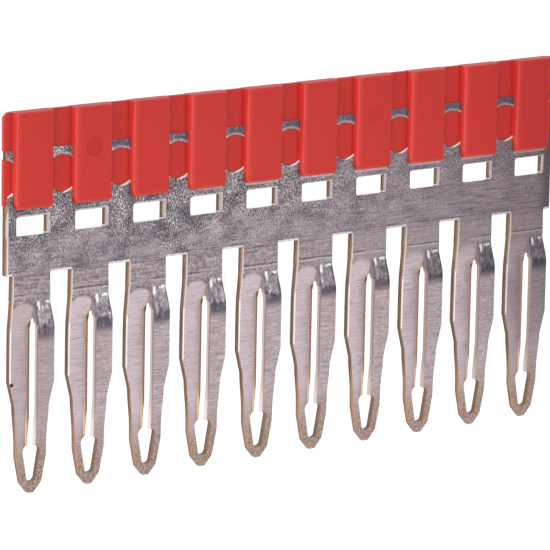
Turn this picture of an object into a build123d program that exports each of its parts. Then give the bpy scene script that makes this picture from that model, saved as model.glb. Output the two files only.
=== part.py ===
"""Jumper bar for a row of terminal blocks: a tinned copper comb with a moulded cover.

Sizes are in millimetres. X runs along the bar, the front faces -Y and Z is up.
The origin lies midway along the bar, in the middle of the sheet and on the lower
edge of the copper rail, the edge that stops the bar when its pins are pushed home.
"""

import os
from math import sqrt

from build123d import *

# Row of poles
pole_count = 10
pole_pitch = 4.2
pin_row = (pole_count - 1) * pole_pitch

# Copper sheet and the rail stamped out of it
sheet = 0.5
rail_height = 7.75
rail_past_pin = 1.8
rail_length = pin_row + 2 * rail_past_pin
anchor_radius = 1.18
anchor_edge = 0.49
anchor_height = rail_height - anchor_edge - anchor_radius
window_width = 2.24
window_height = 1.17
window_below_anchor = 1.3
window_top = anchor_height - anchor_radius - window_below_anchor
window_corner = 0.12
shoulder_round = 0.45

# Necks that carry the pins, pressed a little thinner than the rail
neck_width = 2.66
neck_foot_width = 2.72
neck_length = 1.64
neck_thickness = 0.46
neck_root = 0.3

# Two legged pin, set a little forward of the sheet. One leg bows back out of its
# plane and the other bows forward, and both come back to the plane at the nose.
leg_thickness = 0.4
leg_plane = -0.15
leg_bow = 0.22
back_bow_top = -5.0
front_bow_top = -3.5
bow_bottom = -8.2
bow_end = -10.6
pin_half_width = 1.47
pin_wide_top = -3.4
pin_wide_bottom = -6.75
pin_slim_half_width = 1.1
pin_slim_top = -8.25
pin_waist_half_width = 1.05
pin_slim_bottom = -11.5
nose_half_width = 0.72
nose_top = -13.15
tip_half_width = 0.2
tip = -13.8
tip_thickness = 0.3
nose_round = 0.3

# Slit between the legs, and the eye that ends it
slit_left = 0.14
slit_right = 0.3
slit_middle = (slit_left + slit_right) / 2
slit_top = -2.74
slit_bottom = -10.95
slit_bevel_width = 0.44
slit_bevel_wall = 0.08
slit_bevel_end = 0.75
slit_shoulder = 0.8
eye_top = -10.85
eye_bottom = -13.09
eye_top_half_width = 0.68
eye_bottom_half_width = 0.3
eye_round = 0.28

# Cover moulded round the upper half of the comb
cover_above_rail = 2.35
cover_top = rail_height + cover_above_rail
cover_past_rail = 0.15
cover_length = rail_length + 2 * cover_past_rail
cover_end_below_anchor = 0.54
cover_end_bottom = anchor_height - anchor_radius - cover_end_below_anchor
cover_end_chamfer = 0.28
web = 0.3
plug_gap = 0.03
plug_recess = 0.05
rib_below_anchor = 0.77
rib_bottom = anchor_height - anchor_radius - rib_below_anchor
rib_height = cover_top - rib_bottom
rib_stands_out = 0.35
rib_reach = sheet / 2 + rib_stands_out
rib_half_width = 1.28
rib_draft = 0.12
rib_foot_half_width = rib_half_width + rib_draft
rib_foot_taper_height = 0.85
rib_foot_taper = 0.16
rib_edge_chamfer = 0.07
rib_back_chamfer = 0.34

# The end anchor holes are centred this far outside the ends of the rail
anchor_span = pin_row + pole_pitch
end_inset = (anchor_span - rail_length) / 2


# Rail: a plain strip with a window over each pin and an anchor hole between pins.
# The end holes run out through the ends of the strip and leave rounded shoulders.
with BuildPart() as rail:
    with BuildSketch(Plane.XZ):
        with Locations((0, rail_height / 2)):
            Rectangle(rail_length, rail_height)
        with Locations((0, anchor_height)):
            with GridLocations(pole_pitch, 0, pole_count + 1, 1):
                Circle(anchor_radius, mode=Mode.SUBTRACT)
        with Locations((0, window_top - window_height / 2)):
            with GridLocations(pole_pitch, 0, pole_count, 1):
                RectangleRounded(
                    window_width, window_height, window_corner, mode=Mode.SUBTRACT
                )
    extrude(amount=sheet / 2, both=True)
    shoulders = (
        edges()
        .filter_by(Axis.Y)
        .filter_by(lambda edge: abs(edge.center().X) > rail_length / 2 - shoulder_round)
        .filter_by(lambda edge: 0 < edge.center().Z < anchor_height)
    )
    fillet(shoulders, radius=shoulder_round)


def leg_side_view(bow, bow_top):
    """Leg as seen along the bar: it leaves the sheet, runs straight and comes back."""
    with BuildSketch(Plane.YZ.offset(slit_middle)) as view:
        with BuildLine():
            for side in (-1, 1):
                neck_face = side * leg_thickness / 2
                face = leg_plane + neck_face
                tip_face = leg_plane + side * tip_thickness / 2
                Spline(
                    (neck_face, -neck_length),
                    (face + bow, bow_top),
                    tangents=((0, -1), (0, -1)),
                )
                Line((face + bow, bow_top), (face + bow, bow_bottom))
                Spline(
                    (face + bow, bow_bottom),
                    (face, bow_end),
                    tangents=((0, -1), (0, -1)),
                )
                Polyline((face, bow_end), (face, nose_top), (tip_face, tip))
            Line((-leg_thickness / 2, -neck_length), (leg_thickness / 2, -neck_length))
            Line((leg_plane - tip_thickness / 2, tip), (leg_plane + tip_thickness / 2, tip))
        make_face()
    return view.sketch


# Long slope on the front slit edge of the back leg, left where the slit was lanced
with BuildPart() as slit_slope:
    slope_front = leg_plane + leg_bow - leg_thickness / 2
    slope_back = leg_plane + leg_bow + leg_thickness / 2 - slit_bevel_wall
    slope_ahead = slope_front - leg_thickness
    slope_run = slit_bevel_width * (slope_back - slope_ahead) / (slope_back - slope_front)
    slope_left = slit_left - slope_run
    with BuildSketch(Plane.XY.offset(slit_bottom)):
        with BuildLine():
            Polyline(
                (slit_middle, slope_back),
                (slit_left, slope_back),
                (slope_left, slope_ahead),
                (slit_middle, slope_ahead),
                close=True,
            )
        make_face()
    extrude(amount=slit_top - slit_bottom)
    with BuildSketch(Plane.XZ):
        with BuildLine():
            Polyline(
                (slit_middle, slit_top),
                (slope_left, slit_top - slit_bevel_end),
                (slope_left, slit_bottom),
                (slit_middle, slit_bottom),
                close=True,
            )
        make_face()
    extrude(amount=sheet * 2, both=True, mode=Mode.INTERSECT)


# One spring pin with its neck
with BuildPart() as spring_pin:
    extrude(
        leg_side_view(leg_bow, back_bow_top),
        amount=-pin_half_width - slit_middle,
    )
    extrude(
        leg_side_view(-leg_bow, front_bow_top),
        amount=pin_half_width - slit_middle,
    )
    with BuildSketch(Plane.XY.offset(neck_root)):
        Rectangle(neck_foot_width, neck_thickness)
    extrude(amount=-neck_root - neck_length)
    with BuildSketch(Plane.XZ) as front_view:
        with BuildLine():
            Polyline(
                (0, neck_root),
                (neck_width / 2, neck_root),
                (neck_width / 2, 0),
                (neck_foot_width / 2, -neck_length),
                (pin_half_width, pin_wide_top),
                (pin_half_width, pin_wide_bottom),
                (pin_slim_half_width, pin_slim_top),
                (pin_waist_half_width, pin_slim_bottom),
                (nose_half_width, nose_top),
                (tip_half_width, tip),
                (0, tip),
            )
            mirror(about=Plane.YZ)
        make_face()
        noses = front_view.vertices().filter_by(
            lambda corner: tip < corner.Y < pin_slim_bottom - 1
        )
        fillet(noses, radius=nose_round)
    extrude(amount=sheet * 2, both=True, mode=Mode.INTERSECT)
    with BuildSketch(Plane.XZ):
        with BuildLine():
            Polyline(
                (slit_right, slit_top),
                (slit_right, slit_bottom),
                (slit_left, slit_bottom),
                (slit_left, slit_top - slit_shoulder),
                close=True,
            )
        make_face()
    extrude(amount=sheet * 2, both=True, mode=Mode.SUBTRACT)
    with BuildSketch(Plane.XZ) as eye:
        with BuildLine():
            Polyline(
                (-eye_top_half_width, eye_top),
                (eye_top_half_width, eye_top),
                (eye_bottom_half_width, eye_bottom),
                (-eye_bottom_half_width, eye_bottom),
                close=True,
            )
        make_face()
        fillet(eye.vertices(), radius=eye_round)
    extrude(amount=sheet * 2, both=True, mode=Mode.SUBTRACT)
    add(slit_slope.part, mode=Mode.SUBTRACT)


# The whole comb: the rail and a pin under every window
with BuildPart() as contact_comb:
    add(rail.part)
    with GridLocations(pole_pitch, 0, pole_count, 1):
        add(spring_pin.part)


# One rib pair: a ridge in front and one behind, drafted, slimmer at the foot
with BuildPart() as rib:
    with BuildSketch(Plane.XY.offset(rib_bottom)):
        with BuildLine():
            Polyline(
                (0, -rib_reach),
                (rib_half_width, -rib_reach),
                (rib_foot_half_width, -web / 2),
                (rib_foot_half_width, web / 2),
                (rib_half_width, rib_reach),
                (0, rib_reach),
            )
            mirror(about=Plane.YZ)
        make_face()
    extrude(amount=rib_height)
    with BuildSketch(Plane.XZ):
        with BuildLine():
            Polyline(
                (0, cover_top),
                (rib_foot_half_width, cover_top),
                (rib_foot_half_width, rib_bottom + rib_foot_taper_height),
                (rib_foot_half_width - rib_foot_taper, rib_bottom),
                (0, rib_bottom),
            )
            mirror(about=Plane.YZ)
        make_face()
    extrude(amount=rib_reach, both=True, mode=Mode.INTERSECT)
    outer_edges = edges().filter_by(
        lambda edge: abs(edge.center().Y) > rib_reach - rib_edge_chamfer
    )
    back_top = outer_edges.sort_by(Axis.Z)[-2:].sort_by(Axis.Y)[-1]
    chamfer(back_top, length=rib_back_chamfer)
    front_edges = faces().sort_by(Axis.Y)[0].edges()
    chamfer(front_edges, length=rib_edge_chamfer)


# Cover: a thin web above the rail with round plugs in the anchor holes, the ribs
# outside it, and everything that the rail takes up left out
with BuildPart() as insulating_cover:
    with BuildSketch(Plane.XZ) as web_view:
        with Locations((0, (cover_top + rail_height) / 2)):
            Rectangle(cover_length, cover_top - rail_height)
        end_width = (cover_length - anchor_span) / 2 + anchor_radius
        end_top = anchor_height + sqrt(anchor_radius**2 - end_inset**2)
        end_height = end_top - cover_end_bottom
        with Locations((0, cover_end_bottom + end_height / 2)):
            with GridLocations(cover_length - end_width, 0, 2, 1):
                Rectangle(end_width, end_height)
        end_corners = web_view.vertices().group_by(Axis.Y)[-1]
        chamfer(end_corners, length=cover_end_chamfer)
    extrude(amount=web / 2, both=True)
    with BuildSketch(Plane.XZ):
        with Locations((0, anchor_height)):
            with GridLocations(pole_pitch, 0, pole_count - 1, 1):
                Circle(anchor_radius - plug_gap)
    extrude(amount=sheet / 2 - plug_recess, both=True)
    with GridLocations(pole_pitch, 0, pole_count, 1):
        add(rib.part)
    add(rail.part, mode=Mode.SUBTRACT)


contact_comb.part.label = "contact_comb"
insulating_cover.part.label = "insulating_cover"

os.makedirs("parts", exist_ok=True)
export_step(contact_comb.part, "parts/contact_comb.step")
export_step(insulating_cover.part, "parts/insulating_cover.step")
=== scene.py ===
# %% [markdown]
# # A plug-in jumper bar for terminal blocks
# The real object is two things: a comb stamped from tinned copper sheet, and a red
# plastic cover moulded round the comb's upper half. The solids come from the CAD
# model, so this lesson only rounds the rims of the comb, gives both pieces their
# finishes, and sets up a camera and a plain bright room like the one in the product
# photograph.

import math

import bmesh
import bpy
from mathutils import Matrix, Vector


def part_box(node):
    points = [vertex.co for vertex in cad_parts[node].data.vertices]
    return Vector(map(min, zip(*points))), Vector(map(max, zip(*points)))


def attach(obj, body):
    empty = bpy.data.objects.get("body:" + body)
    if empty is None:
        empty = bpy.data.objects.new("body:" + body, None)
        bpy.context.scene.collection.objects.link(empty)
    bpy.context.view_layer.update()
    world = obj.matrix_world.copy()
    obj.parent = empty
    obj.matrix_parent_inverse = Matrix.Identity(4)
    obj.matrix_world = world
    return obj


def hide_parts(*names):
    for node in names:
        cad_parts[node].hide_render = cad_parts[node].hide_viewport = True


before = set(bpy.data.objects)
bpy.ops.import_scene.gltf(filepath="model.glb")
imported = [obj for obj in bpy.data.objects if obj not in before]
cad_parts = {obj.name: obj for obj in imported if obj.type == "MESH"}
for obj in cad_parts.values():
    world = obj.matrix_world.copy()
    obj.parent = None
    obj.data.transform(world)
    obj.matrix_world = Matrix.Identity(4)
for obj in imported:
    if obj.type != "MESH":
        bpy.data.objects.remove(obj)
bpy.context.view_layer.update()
MM = 0.001
print("nodes:", sorted(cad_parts))

# %% [markdown]
# ## Measures
# The ends of the comb are read from the box of its CAD node. The box can't tell how
# far apart the pins stand or how thick the sheet is, so those two are stated here.
# Other places, such as the rims of the windows, are stated where they are needed, in
# millimetres from the lower edge of the rail and from the middle of a pin.

# %% Read the ends of the comb
comb_low, comb_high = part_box("contact_comb")
RAIL_LEFT = comb_low.x / MM
RAIL_TOP = comb_high.z / MM
TIP = comb_low.z / MM
PITCH = 4.2
SHEET = 0.5
print("rail top", round(RAIL_TOP, 2), "mm, pin tips", round(TIP, 2), "mm")

# %% [markdown]
# ## Shader maths as plain sums
# Node trees get hard to read when every sum is a node made by hand. The class below
# wraps one socket, so that `a * 2 + b` writes its own Math nodes. Three kinds of mask
# come up again and again: a soft step, an even climb and a band between two values.

# %% A socket that can be used in sums


class Value:
    """A number that varies over the surface: one socket that takes part in sums."""

    def __init__(self, nodes, socket):
        self.nodes = nodes
        self.socket = socket

    def work_out(self, operation, first, second=0.0):
        return self.nodes.node(
            "ShaderNodeMath", {"operation": operation}, {0: first, 1: second}
        )

    def __add__(self, other):
        return self.work_out("ADD", self, other)

    def __sub__(self, other):
        return self.work_out("SUBTRACT", self, other)

    def __rsub__(self, other):
        return self.work_out("SUBTRACT", other, self)

    def __mul__(self, other):
        return self.work_out("MULTIPLY", self, other)

    def __mod__(self, other):
        return self.work_out("FLOORED_MODULO", self, other)

    def __pow__(self, other):
        return self.work_out("POWER", self, other)

    def __abs__(self):
        return self.work_out("ABSOLUTE", self)

    def at_least(self, other):
        return self.work_out("MAXIMUM", self, other)

    def at_most(self, other):
        return self.work_out("MINIMUM", self, other)

    def step(self, low, high):
        """0 below low, 1 above high, and a soft rise between."""
        return self.nodes.node(
            "ShaderNodeMapRange",
            {"interpolation_type": "SMOOTHSTEP"},
            {"Value": self, "From Min": low, "From Max": high},
        )

    def climb(self, start, end):
        """0 at start, 1 at end, even between; start may lie above end."""
        return self.nodes.node(
            "ShaderNodeMapRange",
            {},
            {"Value": self, "From Min": start, "From Max": end},
        )

    def band(self, low, high, soft):
        """1 between low and high, and 0 outside, with soft edges."""
        return self.step(low - soft, low + soft) * (1 - self.step(high - soft, high + soft))

    __radd__ = __add__
    __rmul__ = __mul__


def distance(across, up):
    """How far a spot is from a point, from the way across and the way up."""
    return (across * across + up * up) ** 0.5


# %% [markdown]
# ## One way to make any node
# Every node of this scene comes from the method `node` below. It takes the kind of
# node, its options, which are set first, and what goes into its sockets: a plain
# number, a colour, or a Value that varies. Colours are mixed by a Mix node, because a
# Math node would turn them grey. A Mix node has sockets for numbers, vectors and
# colours with the same names, so those for colours are found by their numbers.

# %% The nodes of one tree
MIX_FIRST_COLOUR = 6
MIX_SECOND_COLOUR = 7
MIX_COLOUR_OUT = 2


class Nodes:
    """Makes the nodes of one tree."""

    def __init__(self, tree):
        self.tree = tree

    def plug(self, socket, value):
        """Links a socket to what varies, or sets it to what doesn't."""
        if isinstance(value, Value):
            self.tree.links.new(value.socket, socket)
        else:
            socket.default_value = value

    def node(self, kind, settings, inputs, output=0):
        """Makes a node, sets its options, fills its inputs and gives its output."""
        made = self.tree.nodes.new(kind)
        for name, setting in settings.items():
            if name == "stops":
                self.set_stops(made.color_ramp.elements, setting)
            else:
                setattr(made, name, setting)
        for name, value in inputs.items():
            self.plug(made.inputs[name], value)
        if output == "all":
            return [Value(self, each) for each in made.outputs]
        return Value(self, made.outputs[output])

    def set_stops(self, elements, stops):
        while len(elements) < len(stops):
            elements.new(0.5)
        for element, (at, paint) in zip(elements, stops):
            element.position = at
            element.color = paint

    def ramp(self, amount, *stops):
        """The colour that a number stands for, between stops of a place and a colour."""
        return self.node("ShaderNodeValToRGB", {"stops": stops}, {"Fac": amount})

    def mix(self, mask, paint, over):
        """paint where mask is 1, over where it is 0."""
        return self.node(
            "ShaderNodeMix",
            {"data_type": "RGBA", "blend_type": "MIX"},
            {"Factor": mask, MIX_FIRST_COLOUR: over, MIX_SECOND_COLOUR: paint},
            MIX_COLOUR_OUT,
        )

    def seen_directly(self):
        """1 for rays that reach the camera straight, by a mirror or through glass."""
        seen = self.node("ShaderNodeLightPath", {}, {}, "Is Camera Ray")
        for kind in ("Is Glossy Ray", "Is Transmission Ray"):
            seen = seen.at_least(self.node("ShaderNodeLightPath", {}, {}, kind))
        return seen

    def tell(self, what):
        print(what, "done,", len(self.tree.nodes), "nodes so far")


# %% [markdown]
# ## A recipe for a finish
# Every finish starts the same way: a material with one Principled shader, the place
# on the object, turned into millimetres, and the way the surface faces there. The
# recipe keeps these, so each finish below only says what is special about it.

# %% The recipe
RELIEF_DEPTH = 0.02 * MM


class Recipe(Nodes):
    """Builds the nodes of one material."""

    def __init__(self, name):
        self.material = bpy.data.materials.new(name)
        self.material.use_nodes = True
        super().__init__(self.material.node_tree)
        self.shader = self.tree.nodes["Principled BSDF"]
        self.place = self.node(
            "ShaderNodeVectorMath",
            {"operation": "SCALE"},
            {"Vector": self.where("Object"), "Scale": 1 / MM},
        )
        self.x, self.y, self.z = self.apart(self.place)
        self.facing_x, self.facing_y, self.facing_z = self.apart(self.where("Normal"))

    def where(self, kind):
        return self.node("ShaderNodeTexCoord", {}, {}, kind)

    def apart(self, vector):
        return self.node("ShaderNodeSeparateXYZ", {}, {"Vector": vector}, "all")

    def noise(self, scale, detail=2.0, rough=0.5, stretch=(1, 1, 1)):
        """Noise with scale spots to a millimetre, more where an axis has more stretch."""
        place = self.node(
            "ShaderNodeVectorMath",
            {"operation": "MULTIPLY"},
            {0: self.place, 1: tuple(scale * each for each in stretch)},
        )
        return self.node(
            "ShaderNodeTexNoise",
            {},
            {"Vector": place, "Scale": 1.0, "Detail": detail, "Roughness": rough},
        )

    def bump(self, strength, height):
        """The turned surface that a shallow relief gives."""
        return self.node(
            "ShaderNodeBump",
            {},
            {"Strength": strength, "Distance": RELIEF_DEPTH, "Height": height},
        )

    def finish(self, sockets):
        """Plugs the finished values into the shader and gives the material."""
        for name, value in sockets.items():
            self.plug(self.shader.inputs[name], value)
        self.tell(self.material.name)
        return self.material


# %% Colours are written as seen on a screen


def colour(red, green, blue):
    """A colour given as screen values from 0 to 255, turned into light values."""

    def light(value):
        value /= 255
        return value / 12.92 if value <= 0.04045 else ((value + 0.055) / 1.055) ** 2.4

    return (light(red), light(green), light(blue), 1.0)


print("mid grey is", round(colour(128, 128, 128)[0], 3), "as light")

# %% [markdown]
# ## Where things are on the comb
# Every pin repeats at the same pitch, so one value, the distance sideways from the
# middle of the nearest pin, finds the same spot on all ten. Each pin is slit into two
# legs. The left one was pressed back and the right one forward. Over the left leg the
# neck ends in a round arch, which is crisp on the left of the bar and fades towards
# the right. The outline of a pin is written as a sum of slopes.

# %% Necks and legs
tin = Recipe("tinned copper")
SLIT_LEFT = 0.14
SLIT_RIGHT = 0.3
SLIT_MIDDLE = (SLIT_LEFT + SLIT_RIGHT) / 2
NECK_FOOT = -1.64
ARCH_MIDDLE = -0.55

from_pin = tin.x % PITCH - PITCH / 2
below_rail = 1 - tin.z.step(-0.06, 0.0)
right_leg = from_pin.step(SLIT_MIDDLE - 0.02, SLIT_MIDDLE + 0.02)
off_arch = from_pin - ARCH_MIDDLE
arch = (off_arch * off_arch * 0.35 + 0.2) * (1 - right_leg)
fading = tin.x.step(-4.0, 12.0)
above_arch = (tin.z + arch - NECK_FOOT) * (10.0 - fading * 7.5)
below_neck = 1 - above_arch.step(-1.0, 1.0)
tin.tell("necks and legs")

# %% Distance from the sides of a pin
NECK_HALF_WIDTH = 1.34
WIDE_HALF_WIDTH = 1.47
SLIM_HALF_WIDTH = 1.08
WIDE_TOP = -3.4
WIDE_FOOT = -6.75
SLIM_TOP = -8.25

half_width = (
    NECK_HALF_WIDTH
    + (WIDE_HALF_WIDTH - NECK_HALF_WIDTH) * tin.z.climb(NECK_FOOT, WIDE_TOP)
    - (WIDE_HALF_WIDTH - SLIM_HALF_WIDTH) * tin.z.climb(WIDE_FOOT, SLIM_TOP)
)
from_left_edge = from_pin + half_width
from_right_edge = half_width - from_pin
in_front = tin.facing_y.band(-1.5, -0.75, 0.1)
tin.tell("sides of a pin")

# %% [markdown]
# ## Colour of the rail
# Tin was rolled onto the sheet before it was stamped. On the rail it has crystallised
# into small upright flakes, some dark as slate and some nearly white. Noise gives the
# flakes, finer noise breaks them up, coarse noise gathers them in clumps, and a ramp
# of colours turns the sum into tin. The lower rail is smoother, with long faint lines
# from the rolling, which are noise drawn out along the bar.

# %% Rail: flakes
flakes = tin.noise(8.5, detail=2.0, rough=0.65, stretch=(1.4, 1.0, 0.75))
dust = tin.noise(17.0, detail=1.0, rough=0.6)
clump = tin.noise(1.0, detail=3.0)
flaked = tin.ramp(
    flakes * 0.72 + dust * 0.28 + (clump - 0.5) * 0.25,
    (0.36, colour(50, 47, 58)),
    (0.45, colour(106, 98, 104)),
    (0.53, colour(139, 129, 134)),
    (0.64, colour(230, 221, 220)),
)
tin.tell("flakes")

# %% Rail: smooth lower part
rolling = tin.noise(7.0, detail=3.0, rough=0.6, stretch=(0.1, 1.0, 1.3))
smooth = tin.ramp(
    rolling * 0.3 + dust * 0.35 + flakes * 0.35 + (clump - 0.54) * 0.18,
    (0.36, colour(88, 81, 91)),
    (0.5, colour(156, 144, 149)),
    (0.66, colour(208, 196, 199)),
)
tin.tell("rolling lines")

# %% [markdown]
# Towards the right the bar has been rubbed, so there are fewer flakes. The rolling
# lines are all that is left of them low on the rail, and a fine upright grain shows
# between the windows. One soft step along the bar brings the rubbed tin in.

# %% Rail: rubbed right side
rubbed = tin.x.step(-6.0, 12.0)
brushed = tin.ramp(
    rolling * 0.7 + dust * 0.3,
    (0.34, colour(116, 105, 112)),
    (0.66, colour(182, 169, 174)),
)
grain = tin.noise(8.0, detail=2.0, rough=0.6, stretch=(1.7, 1.0, 0.5))
grained = tin.ramp(
    grain * 0.7 + dust * 0.3,
    (0.36, colour(74, 67, 76)),
    (0.5, colour(134, 123, 129)),
    (0.64, colour(186, 174, 177)),
)
cloud = tin.noise(0.3, detail=2.0)
brushed = tin.mix((tin.z + cloud * 2.0).step(3.2, 4.6) * 0.85, grained, brushed)
flaky = (tin.z + cloud * 6.0).step(3.4, 6.0) * (1 - rubbed * 0.75)
smooth = tin.mix(rubbed * 0.85, brushed, smooth)
rail_colour = tin.mix(0.25 - rubbed * 0.15 + flaky * 0.7, flaked, smooth)
tin.tell("rubbed side")

# %% [markdown]
# Hands and tools have left dark patches and pale smears low on the left of the rail.
# The far right end carries painted shade, and the narrow strip above the plugs has a blue
# tint.

# %% Rail: patches, smears, tints and painted shade at the right end
patch = tin.noise(0.75, detail=3.0, rough=0.6, stretch=(1.0, 1.0, 0.8)).step(0.5, 0.62)
patch = patch * (1 - tin.x.step(-9.0, -3.0)) * (1 - tin.z.step(3.0, 4.0))
smear = tin.noise(0.9, detail=2.0, rough=0.6, stretch=(0.6, 1.0, 2.6)).step(0.54, 0.64)
smear = smear * (1 - tin.z.step(2.0, 2.9)) * (1 - tin.x.step(0.0, 6.0))
shaded_rail_end = tin.x.step(19.4, 20.6)
strip = tin.z.step(RAIL_TOP - 0.55, RAIL_TOP - 0.45) * tin.x.step(-16.0, -12.0)
rail_colour = tin.mix(patch * 0.35, colour(92, 90, 106), rail_colour)
rail_colour = tin.mix(smear * 0.55, colour(174, 161, 168), rail_colour)
# painted shade darkens the far right end of the rail
rail_colour = tin.mix(shaded_rail_end * 0.6, colour(84, 73, 78), rail_colour)
rail_colour = tin.mix(strip * 0.6, colour(82, 78, 100), rail_colour)
tin.tell("patches")

# %% [markdown]
# ## Rims of the rail
# The punch drags the sheet down before it cuts, so a rim of the front face is rolled
# over round every window, down the left end and along the foot of the rail. A rim
# catches the light as a pale painted highlight, and a thin line of painted shade marks
# where the flat face ends. At the left of a window the tin tore, and a thin line of
# copper shows.

# %% Rail: rims of the windows
WINDOW_HALF_WIDTH = 1.12
WINDOW_TOP = 3.6
WINDOW_FOOT = 2.43

right_of_window = from_pin - WINDOW_HALF_WIDTH
left_of_window = -WINDOW_HALF_WIDTH - from_pin
over_window = tin.z - WINDOW_TOP
from_window = right_of_window.at_least(over_window * 1.7) + tin.x.step(-8.0, 8.0) * 0.08
by_window = 1 - left_of_window.step(-0.2, -0.05)
by_window = by_window * tin.z.step(WINDOW_FOOT, WINDOW_FOOT + 0.06) * in_front
window_shade_line = from_window.band(0.19, 0.27, 0.03) * by_window
window_rim = (1 - from_window.step(0.15, 0.21)) * by_window
torn_line = left_of_window.band(-0.03, 0.06, 0.02) * in_front
torn_line = torn_line * tin.z.band(WINDOW_FOOT, WINDOW_TOP, 0.03)
rim_colour = tin.ramp(
    flakes, (0.3, colour(176, 162, 165)), (0.65, colour(222, 211, 212))
)
# painted shade on the line where the flat face ends, painted highlight on the rolled rim
rail_colour = tin.mix(window_shade_line * 0.4, colour(88, 78, 90), rail_colour)
rail_colour = tin.mix(window_rim * 0.85, rim_colour, rail_colour)
rail_colour = tin.mix(torn_line * 0.8, colour(142, 108, 84), rail_colour)
tin.tell("window rims")

# %% Rail: rims of the foot and of the left end
beside_neck = abs(from_pin).step(NECK_HALF_WIDTH - 0.04, NECK_HALF_WIDTH + 0.02)
foot_shade_line = tin.z.band(0.17, 0.23, 0.03)
foot_rim = (1 - tin.z.step(0.1, 0.17)) * beside_neck * in_front
foot_colour = tin.mix(dust.step(0.45, 0.6), colour(250, 245, 246), rim_colour)
end_rim = 1 - tin.x.step(RAIL_LEFT + 0.1, RAIL_LEFT + 0.16)
end_rim = end_rim * in_front * (1 - tin.z.step(3.6, 4.6))
# painted shade on the line above the foot, painted highlight on the rims of the foot and
# the left end
rail_colour = tin.mix(foot_shade_line * 0.4, colour(84, 76, 86), rail_colour)
rail_colour = tin.mix(foot_rim * 0.9, foot_colour, rail_colour)
rail_colour = tin.mix(end_rim * 0.8, colour(236, 228, 230), rail_colour)
tin.tell("foot and end rims")

# %% [markdown]
# Just under each rib the sheet carries a pale painted highlight, which turns to a
# painted shadow at the left of the bar. Round each plug a ring of painted highlight
# lies on the rolled rim above, and a bright crescent of painted highlight at the lower
# right.

# %% Rail: painted highlight and shadow under each rib
RIB_FOOT = 4.13

under_rib = tin.z.band(RIB_FOOT - 0.2, RIB_FOOT - 0.03, 0.03) * in_front
under_rib = under_rib * (1 - abs(from_pin).step(1.2, 1.3))
gleam = tin.x.step(-9.0, -5.0)
# painted highlight under the ribs, and painted shadow under them at the left of the bar
rail_colour = tin.mix(under_rib * gleam * 0.55, colour(218, 202, 202), rail_colour)
rail_colour = tin.mix(under_rib * (1 - gleam) * 0.4, colour(72, 62, 70), rail_colour)
tin.tell("lines under the ribs")

# %% Rail: painted highlights in a ring and a crescent at each plug
PLUG_HEIGHT = 6.08
HOLE_RADIUS = 1.18
RIM_START = HOLE_RADIUS + 0.06

from_plug = (tin.x + PITCH / 2) % PITCH - PITCH / 2
over_plug = tin.z - PLUG_HEIGHT
round_plug = distance(from_plug, over_plug)
low_right = (from_plug * 0.8 - over_plug).step(1.15, 1.45)
ring = (1 - round_plug.step(RIM_START, HOLE_RADIUS + 0.2)) * over_plug.step(0.4, 0.8)
lower_right_highlight = (1 - round_plug.step(RIM_START, HOLE_RADIUS + 0.1)) * low_right
# painted highlights: a pale ring on the rim above each plug and a white crescent at its
# lower right
rail_colour = tin.mix(ring * 0.5, rim_colour, rail_colour)
rail_colour = tin.mix(lower_right_highlight, colour(253, 249, 247), rail_colour)
tin.tell("crescents")

# %% [markdown]
# ## Colour of the necks
# A neck was pressed a little thinner than the rail, so it is mottled. Two shallow
# creases cross it, one at its top and one above the legs; each is drawn as a line of
# painted shade, and above the legs a painted highlight lies under it. The arch over the
# left leg has an outline of painted shade that fades towards the right of the bar,
# where the necks are also smoother and paler.

# %% Necks: mottling
mottle = tin.noise(6.0, detail=3.0, rough=0.65)
neck_colour = tin.ramp(
    mottle * 0.6 + rolling * 0.4,
    (0.34, colour(106, 96, 100)),
    (0.5, colour(154, 141, 144)),
    (0.66, colour(194, 181, 182)),
)
neck_colour = tin.mix(tin.x.step(-3.0, 8.0) * 0.5, colour(172, 160, 163), neck_colour)
tin.tell("necks")

# %% Necks: painted shade in the creases and along the arch
wander = (tin.noise(1.2) - 0.5) * 0.12
broken = cloud.step(0.4, 0.5)
top_crease = (tin.z + wander * 0.3).band(-0.16, -0.1, 0.03)
low_crease = (tin.z + wander).band(-1.3, -1.22, 0.04) * broken
crease_highlight = (tin.z + wander).band(-1.44, -1.34, 0.04) * broken
arch_shade = (tin.z + arch).band(NECK_FOOT - 0.1, NECK_FOOT + 0.12, 0.08)
arch_shade = arch_shade * (1 - fading * 0.7)
arch_shade = arch_shade * abs(off_arch).step(0.35, 0.75) * (1 - right_leg)
# painted shade in the creases, and a painted highlight on the lip under the lower one
neck_colour = tin.mix(top_crease * 0.5, colour(78, 70, 78), neck_colour)
neck_colour = tin.mix(low_crease * 0.65, colour(72, 64, 70), neck_colour)
neck_colour = tin.mix(crease_highlight * 0.6, colour(206, 195, 198), neck_colour)
tin.tell("creases")

# %% [markdown]
# ## Colour of the legs
# The legs were wiped across by the tool, so they are brighter than the rail and carry
# fine level hairs. The leg pressed back is smooth, and the one pressed forward has a
# grain as well. The slim part has a polished lilac band, the first pin is duller, the
# last pin carries painted shade, and towards the nose the tin is worn, so that copper
# shows as a brown tint.

# %% Legs: level hairs
hairs = tin.noise(10.0, detail=2.0, rough=0.6, stretch=(0.09, 1.0, 2.0))
back_leg = tin.ramp(
    hairs * 0.6 + cloud * 0.2 + dust * 0.2,
    (0.3, colour(172, 155, 159)),
    (0.5, colour(203, 186, 191)),
    (0.7, colour(222, 207, 212)),
)
front_leg = tin.ramp(
    hairs * 0.45 + mottle * 0.2 + dust * 0.35,
    (0.34, colour(128, 114, 118)),
    (0.5, colour(180, 164, 167)),
    (0.66, colour(214, 200, 202)),
)
leg_colour = tin.mix(right_leg, front_leg, back_leg)
scratch = tin.noise(5.0, detail=1.0, stretch=(0.3, 1.0, 3.5)).step(0.66, 0.7)
leg_colour = tin.mix(scratch * 0.45, colour(108, 96, 100), leg_colour)
tin.tell("hairs")

# %% Legs: polished band, dull first pin, shaded last pin and worn nose
FIRST_GAP = -17.3
LAST_GAP = 17.3

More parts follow.
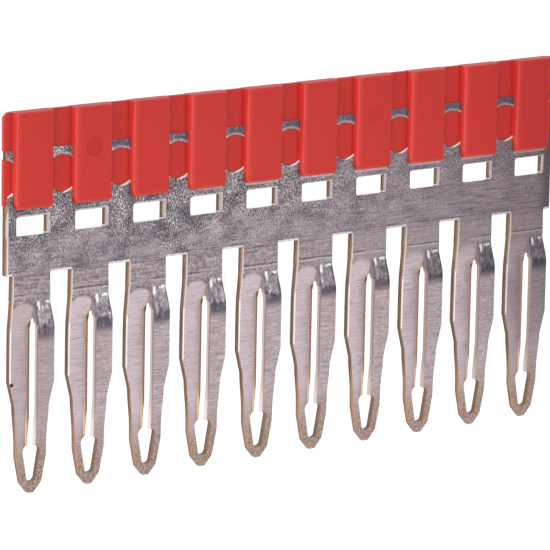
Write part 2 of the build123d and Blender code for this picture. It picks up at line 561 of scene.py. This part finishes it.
polished = from_left_edge.band(0.15, 0.5, 0.12) * tin.z.band(-10.6, -7.6, 0.5)
first_pin = 1 - tin.x.step(FIRST_GAP - 0.3, FIRST_GAP + 0.3)
shaded_end_pin = tin.x.step(LAST_GAP - 0.3, LAST_GAP + 0.3)
worn = tin.ramp(
    mottle,
    (0.34, colour(122, 100, 88)),
    (0.5, colour(156, 134, 121)),
    (0.66, colour(188, 168, 156)),
)
leg_colour = tin.mix(polished * 0.4, colour(198, 187, 202), leg_colour)
leg_colour = tin.mix(first_pin * 0.35, colour(162, 146, 146), leg_colour)
# painted shade on the last pin, at the right end of the bar
leg_colour = tin.mix(shaded_end_pin * 0.4, colour(126, 115, 124), leg_colour)
leg_colour = tin.mix(tin.z.climb(-9.6, -12.4) * 0.9, worn, leg_colour)
tin.tell("worn noses")

# %% [markdown]
# ## The crushed fold
# Where the right leg was folded forward, the tool crushed the tin into bright and dark
# patches, partly its own mottling and partly painted highlight and shade. Noise picks
# between them, and the same noise makes the ends of the fold ragged. Below lies a band
# of painted shade, both sides of the fold carry painted shade too, and two glints catch
# the lamp. Folds further right carry more painted shade and are a little shorter.

# %% Fold: crushed patches with painted highlights and painted shade
crushed = tin.noise(3.2, detail=3.0, rough=0.7, stretch=(1.3, 1.0, 0.8))
# crushed tin, with its whitest spots as painted highlights
fold_top = tin.ramp(
    crushed,
    (0.3, colour(92, 86, 95)),
    (0.42, colour(140, 131, 138)),
    (0.54, colour(172, 162, 168)),
    (0.64, colour(204, 195, 201)),
    (0.7, colour(246, 243, 247)),
)
# painted shade: the dark band below the fold
fold_shade_band = tin.ramp(
    crushed,
    (0.34, colour(76, 72, 85)),
    (0.52, colour(106, 99, 110)),
    (0.7, colour(142, 133, 142)),
)
ragged = (crushed - 0.5) * 1.1
fold_start = (tin.z + ragged * 0.4).step(NECK_FOOT - 0.1, NECK_FOOT + 0.05)
fold_end = tin.z + ragged * 0.5 - tin.x.step(-7.0, 3.0) * 0.25
crushed_part = (1 - fold_start) * right_leg * fold_end.step(-4.4, -3.75)
fold_colour = tin.mix((tin.z + ragged * 0.6).step(-3.4, -3.0), fold_top, fold_shade_band)
# painted shade on folds further right
fold_colour = tin.mix(tin.x.step(-10.0, 14.0) * 0.5, colour(88, 82, 90), fold_colour)
leg_colour = tin.mix(crushed_part, fold_colour, leg_colour)
tin.tell("folds")

# %% Fold: painted shade on its sides, and glints
side_shade_of_fold = from_pin.band(SLIT_MIDDLE, 0.38, 0.04) * tin.z.band(-3.3, -1.8, 0.2)
edge_shade_of_fold = (1 - from_right_edge.step(0.05, 0.1)) * tin.z.band(-3.5, -2.1, 0.1)
side_glint = (from_pin + ragged * 0.3).band(0.43, 0.6, 0.03)
side_glint = side_glint * tin.z.band(-2.3, -1.8, 0.1)
top_glint = (tin.z + ragged * 0.3).band(-1.95, -1.8, 0.05)
top_glint = top_glint * (from_pin + ragged).band(0.9, 1.3, 0.1)
glint = side_glint.at_least(top_glint)
# painted shade on both sides of the fold
leg_colour = tin.mix(side_shade_of_fold * 0.7, colour(112, 105, 118), leg_colour)
leg_colour = tin.mix(edge_shade_of_fold * in_front * 0.7, colour(84, 74, 78), leg_colour)
leg_colour = tin.mix(glint * 0.95, colour(255, 254, 255), leg_colour)
tin.tell("glints")

# %% [markdown]
# ## Bare copper on the cuts
# Where the die cut through the sheet, the brown of the copper shows: paler near the
# front, where the punch went in, and dark at the back, where the metal tore. Four
# cuts differ. The punch dragged tin over the front part of a window's wall, the sill
# of a window is burnished to a shine and painted white as a highlight, the wall of the
# eye is a deeper brown, and the right wall of the slit is painted pale as lit, with
# painted shade at its top and towards the right of the bar.

# %% Cuts: copper, windows and eyes
EYE_TOP = -10.85
EYE_HALF_WIDTH = 0.7

depth = tin.y.climb(-SHEET / 2, SHEET / 2)
copper = tin.ramp(
    depth + (tin.noise(2.0, stretch=(1.0, 1.0, 0.5)) - 0.5) * 0.8,
    (0.08, colour(182, 138, 104)),
    (0.4, colour(144, 102, 73)),
    (0.85, colour(100, 69, 49)),
)
cut = (1 - abs(tin.facing_y).step(0.35, 0.75)).at_least(tin.facing_x.step(0.25, 0.5))
dragged = (1 - tin.y.step(-0.13, -0.07)) * tin.z.band(WINDOW_FOOT, WINDOW_TOP, 0.05)
dragged = dragged * (1 - tin.facing_x.step(-0.6, -0.3))
sill = tin.facing_z.step(0.5, 0.9) * tin.z.band(0.5, 3.0, 0.2)
in_eye = 1 - tin.z.step(EYE_TOP - 0.1, EYE_TOP)
in_eye = in_eye * (1 - abs(from_pin).step(EYE_HALF_WIDTH - 0.05, EYE_HALF_WIDTH + 0.05))
cut_colour = tin.mix(dragged * 0.8, rim_colour, copper)
# painted highlight: the sill and the crescent are painted white
cut_colour = tin.mix(sill.at_least(lower_right_highlight), colour(255, 254, 253), cut_colour)
cut_colour = tin.mix(in_eye * 0.55, colour(112, 76, 48), cut_colour)
tin.tell("copper")

# %% Cuts: painted light and shade on the right wall of the slit
# painted light: the wall is pale where it faces the lamp
slit_wall_light_and_shade = tin.ramp(
    tin.y.climb(-0.55, -0.17),
    (0.3, colour(180, 163, 165)),
    (0.5, colour(252, 243, 238)),
)
shaded = tin.z.step(-3.4, -2.7) * 0.75
# painted shade towards the right of the bar and at the top of the wall
slit_wall_light_and_shade = tin.mix(fading * 0.6, colour(184, 164, 156), slit_wall_light_and_shade)
slit_wall_light_and_shade = tin.mix(shaded, colour(120, 111, 122), slit_wall_light_and_shade)
slit_wall = from_pin.band(SLIT_MIDDLE - 0.06, SLIT_RIGHT + 0.06, 0.03)
slit_wall = slit_wall * tin.z.step(EYE_TOP, EYE_TOP + 0.05)
slit_wall = slit_wall * (1 - tin.facing_x.step(-0.5, -0.25)) * below_neck
cut_colour = tin.mix(slit_wall, slit_wall_light_and_shade, cut_colour)
tin.tell("slit walls")

# %% [markdown]
# Lancing, the cut that parts the legs, left a long slope on the left leg. Its copper
# is painted from a cream highlight through tan to dark brown shade. At the top of the
# slit the slope turns aside, and a tan band crosses the flat front there.

# %% The slope beside the slit
SLIT_TOP = -2.74
SLOPE_LEFT = -0.3
LANCE_TILT = math.radians(35)

# painted highlight at the slope's left, painted shade at its right
slope_light_and_shade = tin.ramp(
    from_pin.climb(SLOPE_LEFT, SLIT_LEFT),
    (0.0, colour(250, 232, 216)),
    (0.3, colour(240, 204, 164)),
    (0.55, colour(206, 156, 112)),
    (0.8, colour(112, 76, 54)),
)
slope = from_pin.band(SLOPE_LEFT - 0.06, SLIT_LEFT + 0.06, 0.02)
slope = slope * tin.facing_x.band(0.35, 0.8, 0.08)
slope = slope * below_neck * tin.facing_y.band(-0.95, -0.5, 0.05)
over_slit = (tin.z - SLIT_TOP) * math.cos(LANCE_TILT)
over_slit = over_slit - (from_pin - SLIT_MIDDLE) * math.sin(LANCE_TILT)
lanced = 1 - over_slit.step(0.1, 0.16)
lanced = lanced * from_pin.band(SLOPE_LEFT - 0.08, SLIT_LEFT + 0.06, 0.03)
lanced = lanced * tin.z.band(SLIT_TOP - 0.46, SLIT_TOP + 0.12, 0.06)
lanced = lanced * in_front * (1 - right_leg)
cut = cut * (1 - slope)
tin.tell("slopes")

# %% [markdown]
# ## All of the tin
# The parts are laid over each other from the rail down: the necks, the legs, the
# painted shade along the arch, the painted highlight on the rim that the die rolled on
# the left edge of each pin, the slope, and last the cuts. The first pin has one small
# dark pit near its left edge, as in the photograph.

# %% The tin's colour, put together
PIT_ACROSS = -20.22
PIT_UP = -6.88
PIT_RADIUS = 0.18

tin_colour = tin.mix(below_rail, neck_colour, rail_colour)
tin_colour = tin.mix(below_neck, leg_colour, tin_colour)
# painted shade along the arch over the left leg
tin_colour = tin.mix(arch_shade * 0.6, colour(98, 89, 96), tin_colour)
# painted highlight on the rolled rim at the left edge of each pin
pale_edge = (1 - from_left_edge.step(0.07, 0.12)) * below_rail
pale_edge = pale_edge * tin.z.step(WIDE_FOOT - 0.1, WIDE_FOOT + 0.05)
neck_or_leg = tin.z.step(WIDE_TOP - 0.2, WIDE_TOP + 0.1)
pale_colour = tin.mix(neck_or_leg, colour(214, 203, 205), colour(255, 252, 252))
tin_colour = tin.mix(pale_edge * in_front, pale_colour, tin_colour)
tin_colour = tin.mix(slope, slope_light_and_shade, tin_colour)
tin_colour = tin.mix(lanced * 0.85, colour(232, 192, 150), tin_colour)
pit = 1 - distance(tin.x - PIT_ACROSS, tin.z - PIT_UP).step(0.07, PIT_RADIUS)
tin_colour = tin.mix(pit * in_front, colour(46, 34, 34), tin_colour)
tin_colour = tin.mix(cut.at_least(slit_wall), cut_colour, tin_colour)
tin.tell("tin colour")

# %% [markdown]
# ## Relief of the tin
# The same masks that colour the rolled rims and creases also lower the surface there,
# so that they turn towards the light as the real ones do. The flakes and the crushed
# fold get a little roughness of their own, and bare copper is less of a mirror than
# tin, but the sill is more of one.

# %% Tinned copper finish
relief = (
    flakes * 0.5
    + crushed * crushed_part * 3.0
    - (window_rim + foot_rim + pale_edge) * 2.0
    - (top_crease + low_crease) * 1.5
)
tinned = tin.finish(
    {
        "Base Color": tin_colour,
        "Metallic": 0.9 - 0.6 * cut.at_least(slope) * (1 - sill) - 0.3 * lower_right_highlight,
        "Roughness": 0.4 + flaky * 0.08 - crushed_part * 0.1 - 0.3 * sill,
        "Normal": tin.bump(0.3, relief),
    }
)

# %% [markdown]
# ## The red cover
# The cover is one moulding of satin red plastic. Its own colour hardly varies: it is a
# little darker near the top, and painted shade darkens the right end of the bar and the
# web beside each rib. Painted highlights brighten the left flank of each rib, the strip
# of its face beside that flank, and its edges. Two of the ribs carry the shallow round
# mark of an ejector pin, which pushes the warm part out of its mould.

# %% Red plastic: skin
plastic = Recipe("red moulded plastic")
skin = plastic.noise(5.0, detail=3.0)
stipple = plastic.noise(14.0, detail=1.0)
red = plastic.ramp(
    skin * 0.6 + stipple * 0.4,
    (0.3, colour(200, 33, 25)),
    (0.7, colour(222, 49, 39)),
)
red = plastic.mix(plastic.z.climb(4.5, 9.8) * 0.5, colour(199, 31, 24), red)
plastic.tell("skin")

# %% Red plastic: light and shade of the ribs
RIB_HALF_WIDTH = 1.28

from_rib = plastic.x % PITCH - PITCH / 2
looks_forward = 1 - plastic.facing_y.step(-0.9, -0.8)
lit_left_side = 1 - plastic.facing_x.step(-0.9, -0.5)
on_rib = 1 - plastic.y.step(-0.5, -0.4)
shade_on_web = abs(from_rib).band(1.4, 1.56, 0.05) * (1 - on_rib) * looks_forward
highlight_by_left_edge = 1 - (from_rib + RIB_HALF_WIDTH).step(0.07, 0.4)
highlight_by_left_edge = highlight_by_left_edge * on_rib * looks_forward
shaded_cover_end = plastic.x.step(15.0, 20.0)
# painted highlights on the left flank and beside it, painted shade on the web and at the
# right end
red = plastic.mix(lit_left_side * 0.5, colour(238, 56, 46), red)
red = plastic.mix(shade_on_web * 0.4, colour(150, 26, 22), red)
red = plastic.mix(highlight_by_left_edge * 0.3, colour(242, 88, 74), red)
red = plastic.mix(shaded_cover_end * 0.4, colour(184, 30, 22), red)
plastic.tell("ribs")

# %% Red plastic: painted edge highlights and ejector marks
MARK_MIDDLES = (-14.7, 6.3)
MARK_HEIGHT = 7.58
MARK_RADIUS = 0.68

aside = abs(plastic.x - MARK_MIDDLES[0]).at_most(abs(plastic.x - MARK_MIDDLES[1]))
from_mark = distance(aside, plastic.z - MARK_HEIGHT)
faint = plastic.x.step(-2.0, 2.0) * 0.7
mark = (1 - from_mark.step(MARK_RADIUS - 0.06, MARK_RADIUS)) * looks_forward * (1 - faint)
mark_ring = from_mark.band(MARK_RADIUS, MARK_RADIUS + 0.06, 0.03) * looks_forward
edge = abs(plastic.facing_y).band(0.4, 0.97, 0.04)
# painted highlight on the edges of the cover
red = plastic.mix(edge * 0.4, colour(240, 96, 84), red)
red = plastic.mix(mark * 0.8, colour(193, 30, 24), red)
red = plastic.mix(mark_ring * 0.15, colour(228, 84, 74), red)
plastic.tell("ejector marks")

# %% Red plastic finish
moulded = plastic.finish(
    {
        "Base Color": red,
        "Roughness": 0.48 + skin * 0.06,
        "Normal": plastic.bump(0.25, stipple * 0.4 + skin * 0.4 - mark * 0.5),
    }
)

# %% [markdown]
# ## Dressed copies of the solids
# A CAD mesh is loose triangles, so a copy is merged first and its flat areas are
# joined into whole faces. When its rims are rounded, the copy is shaded smooth up to
# the sharp edges and stands for the CAD node.

# %% A merged copy of a CAD node
SAME_PLACE = 0.0005 * MM
FLAT_WITHIN = math.radians(0.4)


def merged_copy(node):
    """A copy of a CAD node's mesh with its triangles joined into whole faces."""
    mesh = bmesh.new()
    mesh.from_mesh(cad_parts[node].data)
    bmesh.ops.remove_doubles(mesh, verts=mesh.verts, dist=SAME_PLACE)
    bmesh.ops.dissolve_limit(
        mesh,
        angle_limit=FLAT_WITHIN,
        verts=mesh.verts,
        edges=mesh.edges,
        use_dissolve_boundaries=False,
        delimit=set(),
    )
    print(node, "joined into", len(mesh.faces), "faces")
    return mesh


# %% A finished piece from a mesh
SHARP_FROM = math.radians(50)


def finished_piece(name, mesh, material, node):
    """The piece that stands for a CAD node, in its finish."""
    bmesh.ops.triangulate(mesh, faces=[f for f in mesh.faces if len(f.verts) > 4])
    mesh.normal_update()
    for face in mesh.faces:
        face.smooth = True
    for edge in mesh.edges:
        edge.smooth = edge.calc_face_angle(math.pi) < SHARP_FROM
    data = bpy.data.meshes.new(name)
    mesh.to_mesh(data)
    mesh.free()
    data.materials.append(material)
    piece = bpy.data.objects.new(name, data)
    bpy.context.scene.collection.objects.link(piece)
    even = piece.modifiers.new("even shading", "WEIGHTED_NORMAL")
    even.keep_sharp = True
    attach(piece, "root")
    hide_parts(node)
    print(name, len(data.polygons), "faces")


# %% [markdown]
# ## The comb
# A stamped edge is never sharp, because the die drags the front rim round. So every
# edge where a face that looks forward ends is bevelled, with a radius that is small
# next to the sheet's 0.5 mm. The back keeps its sharp edges, as a real stamping does.

# %% Comb
FRONT_RIM = 0.035 * MM
RIM_FROM = math.radians(38)
FORWARD = -0.8


def is_front_rim(edge):
    """True for a clear edge at which a face that looks forward ends."""
    if len(edge.link_faces) != 2 or edge.calc_face_angle(0.0) < RIM_FROM:
        return False
    return any(face.normal.y < FORWARD for face in edge.link_faces)


comb = merged_copy("contact_comb")
rims = [edge for edge in comb.edges if is_front_rim(edge)]
print("rounded", len(rims), "edges at", round(FRONT_RIM / MM, 3), "mm")
bmesh.ops.bevel(
    comb,
    geom=rims,
    offset=FRONT_RIM,
    offset_type="OFFSET",
    affect="EDGES",
    segments=3,
    profile=0.5,
    material=-1,
    clamp_overlap=True,
)
finished_piece("comb", comb, tinned, "contact_comb")

# %% [markdown]
# ## The cover
# The cover's edges are chamfered in the CAD model already, so its copy only gets
# smooth shading and the red finish.

# %% Cover
cover = merged_copy("insulating_cover")
finished_piece("cover", cover, moulded, "insulating_cover")

# %% [markdown]
# ## Camera
# The photograph was taken with a long lens from the left and a little above. Its
# place and lens were worked out from the row of pins, which gets smaller to the
# right, so the camera below is stated by its place and by two directions of its own
# axes, and the third is square to both.

# %% Camera
CAMERA_PLACE = Vector((-0.16426, -0.23903, 0.06341))
CAMERA_RIGHT = Vector((0.82766, -0.56091, 0.01876))
CAMERA_BACK = Vector((-0.55059, -0.80505, 0.22078))
CAMERA_LENS = 307.6

camera_data = bpy.data.cameras.new("camera")
camera_data.sensor_width = 36.0
camera_data.lens = CAMERA_LENS
camera_data.clip_start = 0.01
camera = bpy.data.objects.new("camera", camera_data)
bpy.context.scene.collection.objects.link(camera)
camera_back = CAMERA_BACK.normalized()
camera_up = camera_back.cross(CAMERA_RIGHT).normalized()
camera_right = camera_up.cross(camera_back)
turn = Matrix((camera_right, camera_up, camera_back)).transposed()
camera.matrix_world = Matrix.Translation(CAMERA_PLACE) @ turn.to_4x4()
bpy.context.scene.camera = camera
print("camera", round(CAMERA_PLACE.length / MM), "mm from the bar")

# %% [markdown]
# ## Room and light
# The photograph has a pure white ground with no shadow to speak of. The world is
# plain white to the camera and in reflections, and lights the object softly from all
# round at a lower strength. One large lamp from the left gives the forms their light
# side.

# %% World
ROOM_LIGHT = 0.75

world = bpy.data.worlds.new("white room")
bpy.context.scene.world = world
world.use_nodes = True
room = Nodes(world.node_tree)
strength = room.node(
    "ShaderNodeMapRange",
    {},
    {"Value": room.seen_directly(), "To Min": ROOM_LIGHT, "To Max": 1.0},
)
backdrop = world.node_tree.nodes["Background"]
room.plug(backdrop.inputs["Color"], colour(255, 255, 255))
room.plug(backdrop.inputs["Strength"], strength)
print("room light", ROOM_LIGHT)

# %% Left lamp
LAMP_PLACE = Vector((-0.5, -0.25, 0.1))
LAMP_SIZE = 0.4
LAMP_POWER = 1.2

light = bpy.data.lights.new("left lamp", "AREA")
light.size = LAMP_SIZE
light.energy = LAMP_POWER
lamp = bpy.data.objects.new("left lamp", light)
bpy.context.scene.collection.objects.link(lamp)
aim = -LAMP_PLACE.normalized()
lamp_turn = aim.to_track_quat("-Z", "Y").to_matrix().to_4x4()
lamp.matrix_world = Matrix.Translation(LAMP_PLACE) @ lamp_turn
print("left lamp", LAMP_POWER, "W")

# %% [markdown]
# ## Floor and card
# The floor is pale and glows a little to the camera, so that it melts into the white
# ground and keeps what shadow reaches it. A photographer darkens one end of a shiny
# thing with a grey card that stands beside it, just out of the picture. Here the card
# stands beyond the right end, where the bar in the photograph grows darker. It's
# hidden from the camera and only shades the light.

# %% A flat piece for the stage


def flat_piece(name, half, place, material):
    """A square sheet, half its side each way, that belongs to the stage."""
    square = bmesh.new()
    bmesh.ops.create_grid(square, x_segments=1, y_segments=1, size=half, matrix=place)
    data = bpy.data.meshes.new(name)
    square.to_mesh(data)
    square.free()
    data.materials.append(material)
    piece = bpy.data.objects.new(name, data)
    bpy.context.scene.collection.objects.link(piece)
    print(name, round(2 * half / MM), "mm square")
    return piece


# %% Floor
FLOOR_HALF = 3.0
FLOOR_DROP = 0.03
FLOOR_GLOW = 0.45

pale = Recipe("pale floor")
no_glow = (0.0, 0.0, 0.0, 1.0)
full_glow = (FLOOR_GLOW, FLOOR_GLOW, FLOOR_GLOW, 1.0)
pale_floor = pale.finish(
    {
        "Base Color": (0.8, 0.8, 0.8, 1.0),
        "Roughness": 0.9,
        "Emission Strength": 1.0,
        "Emission Color": pale.mix(pale.seen_directly(), full_glow, no_glow),
    }
)
floor_place = Matrix.Translation((0.0, 0.0, comb_low.z - FLOOR_DROP))
flat_piece("floor", FLOOR_HALF, floor_place, pale_floor)

# %% Grey card beyond the right end
CARD_HALF = 0.01
CARD_GAP = 0.006

grey = Recipe("grey card").finish({"Base Color": (0.6, 0.58, 0.6, 1.0), "Roughness": 0.9})
card_middle = Matrix.Translation((comb_high.x + CARD_GAP, -CARD_HALF, 0.0))
card_place = card_middle @ Matrix.Rotation(math.radians(90), 4, "Y")
card = flat_piece("grey card", CARD_HALF, card_place, grey)
card.visible_camera = False

# %% Look
bpy.context.scene.view_settings.view_transform = "Standard"
